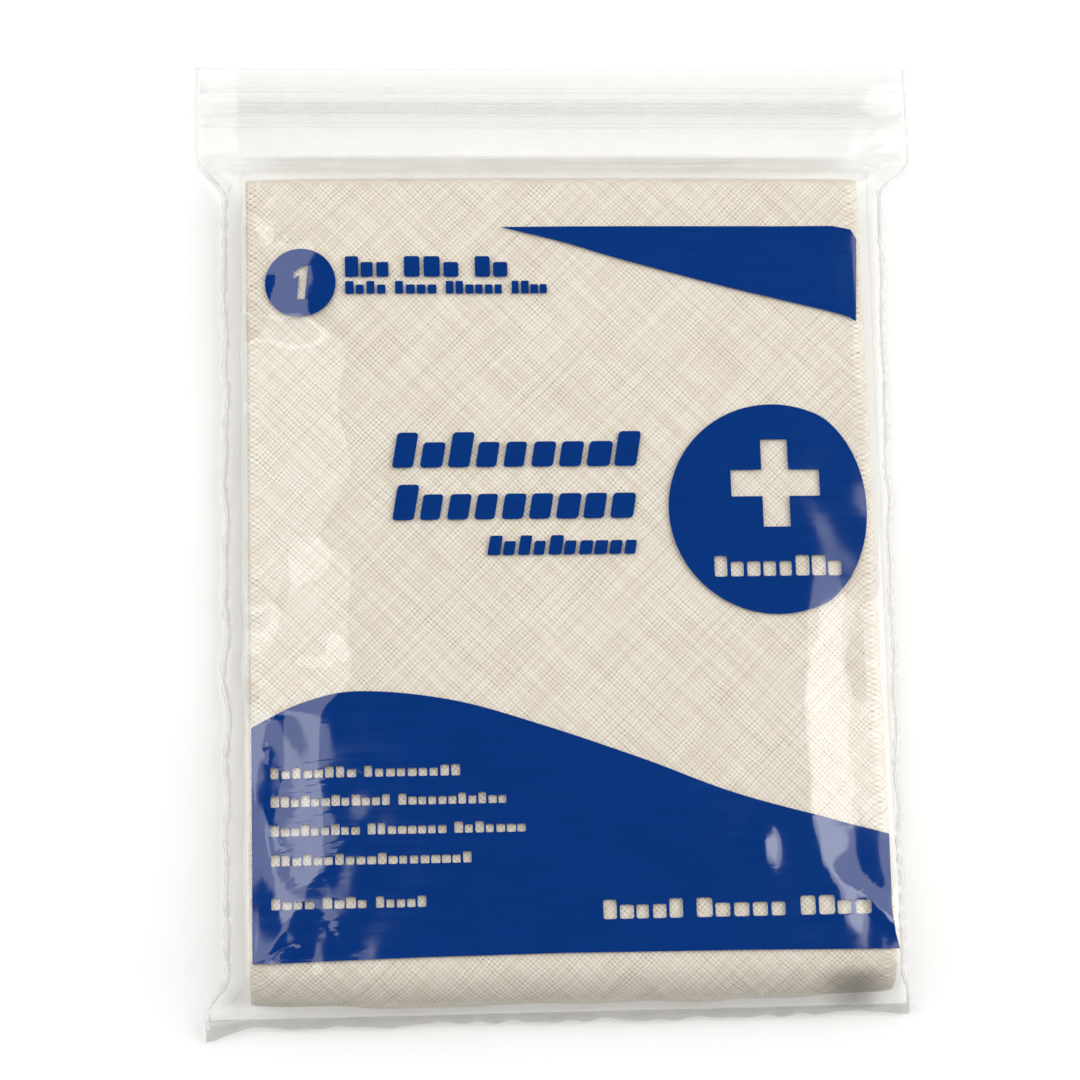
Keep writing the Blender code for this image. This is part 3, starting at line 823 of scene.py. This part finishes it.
# ---- Welds, bottom fold and zip --------------------------------------------
def swept(name, centres, outline, material):
    """A closed outline swept along centres. outline(i) gives its (across, up) points at station i, and
    across is measured square to the path in plan."""
    centres = np.array(centres)
    ahead = np.gradient(centres[:, :2], axis=0)
    ahead /= np.linalg.norm(ahead, axis=1)[:, None]
    verts, faces = [], []
    for i, (centre, way) in enumerate(zip(centres, ahead)):
        points = outline(i)
        for across, up in points:
            verts.append((centre[0] - way[1] * across, centre[1] + way[0] * across, centre[2] + up))
        count = len(points)
        if i:
            for k in range(count):
                a, b = (i - 1) * count + k, (i - 1) * count + (k + 1) % count
                faces.append((a, b, b + count, a + count))
    faces.append(tuple(range(count))[::-1])
    last = (len(centres) - 1) * count
    faces.append(tuple(range(last, last + count)))
    obj = mesh_object(name, verts, faces, material)
    bm = bmesh.new()
    bm.from_mesh(obj.data)
    bmesh.ops.recalc_face_normals(bm, faces=bm.faces)
    bm.to_mesh(obj.data)
    bm.free()
    obj.data.set_sharp_from_angle(angle=math.radians(50))
    return obj


def make_weld(side, material):
    """The crushed, beaded weld down one side of the bag."""
    ys = np.linspace(END_Y - 1.5 * MM, LIP, 420)
    edge = weld_edges(ys)[side]
    inward = 1.0 if side == 0 else -1.0
    bead = waves(ys, 0.0 * ys, 2.6 * MM, 71 + side)
    big = waves(ys, 0.0 * ys, 9.0 * MM, 73 + side)
    body = smooth((SHOULDER - ys) / (6.0 * MM))
    half_wide = (0.46 + body * (0.10 + 0.12 * bead)) * MM
    half_high = (0.40 + 0.22 * body * (0.6 + 0.5 * bead + 0.4 * big)) * MM
    middle = WELD_Z - 0.05 * MM + 0.25 * MM * big * body
    centres = np.stack([edge + inward * 0.5 * WELD, ys, middle + 0.0 * ys], -1)
    ring = np.linspace(0.0, 2.0 * math.pi, 12, endpoint=False)

    def outline(i):
        return [(half_wide[i] * math.cos(a), half_high[i] * math.sin(a)) for a in ring]

    name = ("left_weld", "right_weld")[side]
    obj = swept(name, centres, outline, material)
    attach(obj, "bag")
    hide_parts(("left_side_seal", "right_side_seal")[side])


def make_bottom_fold(film):
    """The bag's folded bottom edge: a flattened fin past the pack's end, with an ear at each corner. Its
    darker material is partly doubled film and partly painted shadow along the edge.
    """
    left, right = weld_edges(np.array(BOTTOM))
    along = np.linspace(float(left) + 0.2 * MM, float(right) - 0.2 * MM, 230)
    turn = np.linspace(0.0, math.pi, 17)
    x, angle = np.meshgrid(along, turn)
    ear_left = np.exp(-(((x - left) / (6.0 * MM)) ** 2))
    ear_right = np.exp(-(((x - right) / (7.0 * MM)) ** 2))
    reach = 1.7 * MM + 0.5 * MM * waves(x, 0.0 * x, 21.0 * MM, 81)
    reach = reach + 2.2 * MM * ear_left + 0.5 * MM * ear_right
    start_y = END_Y + 0.2 * MM
    high = header_z(x, start_y + 0.0 * x)
    low = BACK_Z + 0.05 * MM
    droop = 1.7 * MM * np.sin(angle)
    out = np.sin(angle) ** 0.7
    y = start_y - reach * out - 0.25 * MM * waves(x, 0.0 * x, 5.0 * MM, 83) * out
    z = (high + low) / 2 + (high - low) / 2 * np.cos(angle) - droop
    z = z + 0.35 * MM * waves(x, y, 5.5 * MM, 85) * out
    obj = sheet_object("bottom_edge", x, y, np.maximum(z, 0.15 * MM), film, FILM_WALL)
    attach(obj, "bag")
    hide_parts("bottom_fold")


# Spare film in plan: x, y, half x, half y, and the share of half x where it starts to thin out.
GATHER = (CLOTH_MIDDLE + 0.5 * MM, (SHOULDER + FACE_TOP) / 2 + 0.1 * MM, 65.5 * MM, 4.4 * MM, 0.75)
TUCK = (50.8 * MM, FACE_BOTTOM - 6.6 * MM, 7.2 * MM, 4.8 * MM, 0.05)


def make_gather(film):
    """Spare film gathered in small pleats along the top of the pack, running out towards both shoulders.
    Its darker material is painted shade for the band there.
    """
    u, v = np.meshgrid(np.linspace(-1.0, 1.0, 150), np.linspace(0.0, 1.0, 40))
    x = GATHER[0] + u * GATHER[2]
    y = GATHER[1] + (1.0 - 2.0 * v) * GATHER[3] + 0.25 * MM * waves(x, 0.0 * x, 50.0 * MM, 97)
    pleat = np.abs(np.sin(v * math.pi * 4.5 + 0.5 * waves(x, 0.0 * x, 40.0 * MM, 98))) ** 0.7
    lift = 0.14 * MM + 0.45 * MM * pleat * (1.0 - np.abs(u) ** 6) * np.sin(math.pi * v) ** 0.5
    obj = sheet_object("shoulder_gather", x, y, film_z(x, y) + FILM_WALL + lift, film, FILM_WALL)
    open_with_mouth(obj)


def make_corner_tuck(film):
    """Spare film at the bottom right corner, folded over on itself against the pack's end. Its dark tinted
    material is painted shade over that corner.
    """
    u, v = np.meshgrid(np.linspace(0.0, 1.0, 26), np.linspace(0.0, 1.0, 20))
    x = TUCK[0] + (2.0 * u - 1.0) * TUCK[2] + 0.35 * MM * waves(v * MM * 9.0, u * MM * 9.0, 5.0 * MM, 95)
    y = TUCK[1] + (1.0 - 2.0 * v) * TUCK[3] + 1.6 * MM * (u - 0.5)
    lift = 0.16 * MM + 0.45 * MM * np.sin(math.pi * u) ** 2 * v
    lift = lift + 0.12 * MM * (1.0 + waves(x, y, 4.0 * MM, 96))
    obj = sheet_object("corner_tuck", x, y, film_z(x, y) + FILM_WALL + lift, film, FILM_WALL)
    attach(obj, "bag")


def make_strip(name, y, z_at, points, material, node, front):
    """A rib or profile that runs along the mouth, crushed flat where the side welds cross it."""
    x = np.linspace(-HEADER_HALF + WELD, HEADER_HALF - WELD, 141)
    ys = y + 0.06 * MM * waves(x, 0.0 * x, 40.0 * MM, 91)
    centres = np.stack([x, ys, z_at(x, ys)], -1)
    squeeze = 0.25 + 0.75 * smooth((HEADER_HALF - np.abs(x) - 1.0 * MM) / (5.0 * MM))

    def outline(i):
        return [(across, up * squeeze[i]) for across, up in points]

    obj = swept(name, centres, outline, material)
    if front:
        open_with_mouth(obj)
    else:
        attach(obj, "bag")
    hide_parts(node)


def rounded_rib(half, height, steps=6):
    arc = np.linspace(0.0, math.pi, steps)
    return [(-half * math.cos(a), height * math.sin(a)) for a in arc]


def make_zip(material):
    def front_top(x, y):
        return film_z(x, y) + FILM_WALL + 0.02 * MM

    def front_under(x, y):
        return film_z(x, y) - 0.03 * MM

    def back_top(x, y):
        return back_z(x, y) + FILM_WALL + 0.03 * MM

    def back_under(x, y):
        return back_z(x, y) - 0.03 * MM

    rib = rounded_rib(0.28 * MM, 0.24 * MM)
    under = [(-across, -up) for across, up in rib]
    for place, y in (("upper", LIP - 5.0 * MM), ("lower", LIP - 12.4 * MM)):
        make_strip(f"grip_front_{place}", y, front_top, rib, material, f"front_grip_rib_{place}", True)
        make_strip(f"grip_back_{place}", y, back_under, under, material, f"back_grip_rib_{place}", False)
    flange, thin, wall_out, wall_in, deep = 1.6 * MM, 0.14 * MM, 1.15 * MM, 0.85 * MM, 0.95 * MM
    channel = [
        (-flange, 0.0),
        (-flange, -thin),
        (-wall_out, -thin),
        (-wall_out, -deep),
        (-wall_in * 0.7, -deep),
        (-wall_in, -thin),
        (wall_in, -thin),
        (wall_in * 0.7, -deep),
        (wall_out, -deep),
        (wall_out, -thin),
        (flange, -thin),
        (flange, 0.0),
    ]
    bead = [
        (-flange, 0.0),
        (flange, 0.0),
        (flange, thin),
        (0.18 * MM, thin),
        (0.18 * MM, 0.60 * MM),
        (0.42 * MM, 0.66 * MM),
        (0.0, 1.05 * MM),
        (-0.42 * MM, 0.66 * MM),
        (-0.18 * MM, 0.60 * MM),
        (-0.18 * MM, thin),
        (-flange, thin),
    ]
    make_strip("zip_channel_strip", ZIP_Y, front_under, channel, material, "zip_channel", True)
    make_strip("zip_rib_strip", ZIP_Y, back_top, bead, material, "zip_rib", False)


# ---- Print -----------------------------------------------------------------
INK_LIFT = 0.06 * MM  # over the film; the two meshes still cross in places under the large band
INK_WALL = 0.02 * MM
INK_CELL = 1.4 * MM  # the ink is cut into cells of this size, to follow the film


def curve_through(points, steps=10):
    """A smooth line through points, in millimetres."""
    points = np.array(points, float)
    padded = np.vstack([2 * points[0] - points[1], points, 2 * points[-1] - points[-2]])
    line = []
    for a, b, c, d in zip(padded, padded[1:], padded[2:], padded[3:]):
        for t in np.linspace(0.0, 1.0, steps, endpoint=False):
            square = (2 * a - 5 * b + 4 * c - d) * t**2
            cube = (3 * b - a - 3 * c + d) * t**3
            line.append(0.5 * (2 * b + (c - a) * t + square + cube))
    line.append(points[-1])
    return [tuple(p) for p in line]


def ring(x, y, radius, steps=72):
    turn = np.linspace(0.0, 2.0 * math.pi, steps, endpoint=False)
    return [(x + radius * math.cos(a), y + radius * math.sin(a)) for a in turn]


def rounded_box(x0, y0, x1, y1, radius, slant=0.0, steps=4):
    """A rounded rectangle, leaning by slant of its height."""
    corners = ((x1, y1, 0), (x0, y1, 1), (x0, y0, 2), (x1, y0, 3))
    line = []
    for x, y, quarter in corners:
        centre_x = x - radius if x == x1 else x + radius
        centre_y = y - radius if y == y1 else y + radius
        for a in np.linspace(0.0, math.pi / 2, steps) + quarter * math.pi / 2:
            px, py = centre_x + radius * math.cos(a), centre_y + radius * math.sin(a)
            line.append((px + slant * (py - y0), py))
    return line


def word_blocks(x0, x1, y0, y1, seed, slant=0.0, words=1, width=0.62, gap=0.16):
    """Blank blocks of letter size that stand for words, from x0 to x1."""
    rng = np.random.default_rng(seed)
    height = y1 - y0
    blocks, x = [], x0
    space = height * 0.55
    lengths = rng.uniform(0.7, 1.3, words)
    lengths *= (x1 - x0 - space * (words - 1)) / lengths.sum()
    for length in lengths:
        count = max(2, int(round(length / (height * (width + gap)))))
        pitch = length / count
        for k in range(count):
            tall = k == 0 or rng.random() < 0.3
            top = y1 if tall else y0 + 0.72 * height
            narrow = rng.uniform(0.72, 0.86) * pitch
            blocks.append(rounded_box(x, y0, x + narrow, top, min(narrow, top - y0) * 0.16, slant))
            x += pitch
        x += space
    return blocks


def make_ink(name, outlines, material):
    """Ink on the front film: flat outlines in millimetres, holes inside them left clear."""
    curve = bpy.data.curves.new(name, "CURVE")
    curve.dimensions = "2D"
    curve.fill_mode = "BOTH"
    for outline in outlines:
        spline = curve.splines.new("POLY")
        spline.points.add(len(outline) - 1)
        for point, (x, y) in zip(spline.points, outline):
            point.co = (x * MM, y * MM, 0.0, 1.0)
        spline.use_cyclic_u = True
    shape = bpy.data.objects.new(name, curve)
    link(shape)
    bpy.context.view_layer.update()
    mesh = bpy.data.meshes.new_from_object(shape.evaluated_get(bpy.context.evaluated_depsgraph_get()))
    bpy.data.objects.remove(shape)
    bpy.data.curves.remove(curve)
    bm = bmesh.new()
    bm.from_mesh(mesh)
    bmesh.ops.remove_doubles(bm, verts=bm.verts, dist=1e-7)
    co = np.array([v.co[:] for v in bm.verts])
    for axis in (0, 1):
        places = np.arange(co[:, axis].min() + INK_CELL / 2, co[:, axis].max(), INK_CELL)
        for place in places:
            point = [0.0, 0.0, 0.0]
            point[axis] = place
            normal = [0.0, 0.0, 0.0]
            normal[axis] = 1.0
            geom = bm.verts[:] + bm.edges[:] + bm.faces[:]
            bmesh.ops.bisect_plane(bm, geom=geom, dist=1e-7, plane_co=point, plane_no=normal)
    co = np.array([v.co[:] for v in bm.verts])
    z = film_z(co[:, 0], co[:, 1]) + FILM_WALL + INK_LIFT
    for vert, height in zip(bm.verts, z):
        vert.co.z = height
    for face in bm.faces:
        if face.normal.z < 0:
            face.normal_flip()
        face.smooth = True
    bm.to_mesh(mesh)
    bm.free()
    mesh.name = name
    mesh.materials.clear()
    mesh.materials.append(material)
    obj = bpy.data.objects.new(name, mesh)
    link(obj)
    solid = obj.modifiers.new("ink", "SOLIDIFY")
    solid.thickness = INK_WALL
    solid.offset = 1.0
    apply_modifiers(obj)
    obj.data.set_sharp_from_angle(angle=math.radians(40))
    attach(obj, "bag")
    return obj


def make_print(ink):
    swoosh_top = [(-12.4, 56.2), (10.0, 56.3), (35.0, 56.3), (53.0, 56.3), (56.6, 55.6), (57.7, 53.6)]
    swoosh_low = curve_through(
        [(56.8, 36.8), (52.6, 38.6), (32.0, 43.8), (11.0, 49.6), (-1.0, 53.3), (-12.4, 56.2)]
    )
    make_ink("ink_swoosh", [swoosh_top + swoosh_low[:-1]], ink)

    figure = [
        (-52.5, 47.3), (-50.6, 48.5), (-49.7, 48.5), (-50.4, 41.8),
        (-51.9, 41.8), (-51.4, 46.6), (-52.5, 46.0),
    ]
    make_ink("ink_disc", [ring(-51.2, 45.1, 6.8), figure], ink)

    size_words = word_blocks(-42.6, -10.4, 46.1, 50.3, 1, words=3)
    size_words += word_blocks(-42.6, -3.2, 42.7, 45.3, 2, words=4)
    make_ink("ink_size_words", size_words, ink)
    title = word_blocks(-34.2, 13.6, 8.2, 15.1, 3, slant=0.18)
    title += word_blocks(-34.3, 12.4, -2.0, 4.9, 4, slant=0.18)
    make_ink("ink_title_words", title, ink)
    make_ink("ink_subtitle_words", word_blocks(-16.4, 12.6, -9.0, -5.2, 5, slant=0.18), ink)

    arm, long = 2.6, 8.6
    cx, cy = 39.4, 4.6
    cross = [
        (cx - arm, cy - long), (cx + arm, cy - long), (cx + arm, cy - arm), (cx + long, cy - arm),
        (cx + long, cy + arm), (cx + arm, cy + arm), (cx + arm, cy + long), (cx - arm, cy + long),
        (cx - arm, cy + arm), (cx - long, cy + arm), (cx - long, cy - arm), (cx - arm, cy - arm),
    ]
    name_words = word_blocks(27.0, 52.0, -13.6, -9.6, 6)
    bend = 49.0  # right of this the circle goes over the pack's edge and looks drawn in
    disc = [(bend + (x - bend) * 0.74 if x > bend else x, y) for x, y in ring(39.2, -0.4, 20.6, 120)]
    make_ink("ink_roundel", [disc, cross] + name_words, ink)

    wave = curve_through([
        (-61.1, -41.0), (-52.0, -36.7), (-41.0, -34.6), (-24.1, -36.4),
        (-7.3, -41.3), (11.3, -47.9), (30.7, -55.4), (58.2, -63.0),
    ])
    edge = [
        (58.0, -70.0), (57.8, -77.4), (58.2, -81.5), (58.9, -84.5),
        (30.0, -84.1), (-4.7, -83.9), (-30.0, -84.1), (-61.1, -84.7),
    ]
    lines = [(-50.9, -22.0, 2), (-56.2, -13.5, 2), (-61.6, -10.0, 3), (-67.1, -20.2, 1), (-75.1, -28.8, 3)]
    holes = []
    for number, (base, end, words) in enumerate(lines):
        low, high = base + 0.2, base + 2.3
        holes += word_blocks(-57.6, end, low, high, 20 + number, words=words, width=0.7, gap=0.22)
    holes += word_blocks(3.6, 54.4, -77.9, -74.3, 30, words=3, width=0.72, gap=0.2)
    make_ink("ink_band", [wave + edge] + holes, ink)


make_camera()
make_stage()

muslin = muslin_material()
clear_film = film_material("clear film", 0.03, 0.05, (0.95, 0.96, 0.97), (0.991, 0.990, 0.987))
weld_film = film_material("welded film", 0.42, 0.10, (0.98, 0.98, 0.98), (0.975, 0.975, 0.97), 1.0)
# The folded film's darker tint is partly the doubled film of the fold and partly painted shadow along the
# bag's bottom edge.
folded_film_painted_shadow = film_material("folded film", 0.10, 0.07, (0.80, 0.80, 0.79), (0.955, 0.953, 0.947), 1.0)
# The tucked film's dark tint and low clarity are painted shade for the shadowed bottom right corner of the
# pack.
tuck_film_painted_shade = film_material("tucked film", 0.16, 0.08, (0.45, 0.445, 0.44), (0.84, 0.835, 0.825), 1.0, TUCK)
# The gathered film's darker tint and lower clarity are painted shade for the dark band along the top of the
# pack; its pleats are real film.
painted_shade_grey, clarity = (0.60, 0.595, 0.585), (0.945, 0.938, 0.926)
gather_film_painted_shade = film_material("gathered film", 0.08, 0.08, painted_shade_grey, clarity, 1.0, GATHER)
zip_film = film_material("zip profile", 0.05, 0.12, (0.97, 0.97, 0.97), (0.990, 0.990, 0.989))
blue_ink = ink_material("blue ink", (0.0015, 0.030, 0.185), (0.003, 0.052, 0.27))
steel = steel_material("nickel plate", (0.78, 0.77, 0.74))

bandage = make_bandage(muslin)
make_back_film(clear_film)
make_front_film(clear_film)
make_bottom_fold(folded_film_painted_shadow)
make_gather(gather_film_painted_shade)
make_corner_tuck(tuck_film_painted_shade)
for side in (0, 1):
    make_weld(side, weld_film)
make_zip(zip_film)
make_print(blue_ink)

for name, node in frame["nodes"].items():
    if node.hide_render:
        continue
    if "seal" in name:
        node.data.materials[0] = weld_film
    elif "pin" in name:
        node.data.materials[0] = steel
    elif "zip" in name or "rib" in name:
        node.data.materials[0] = zip_film
    else:
        node.data.materials[0] = clear_film
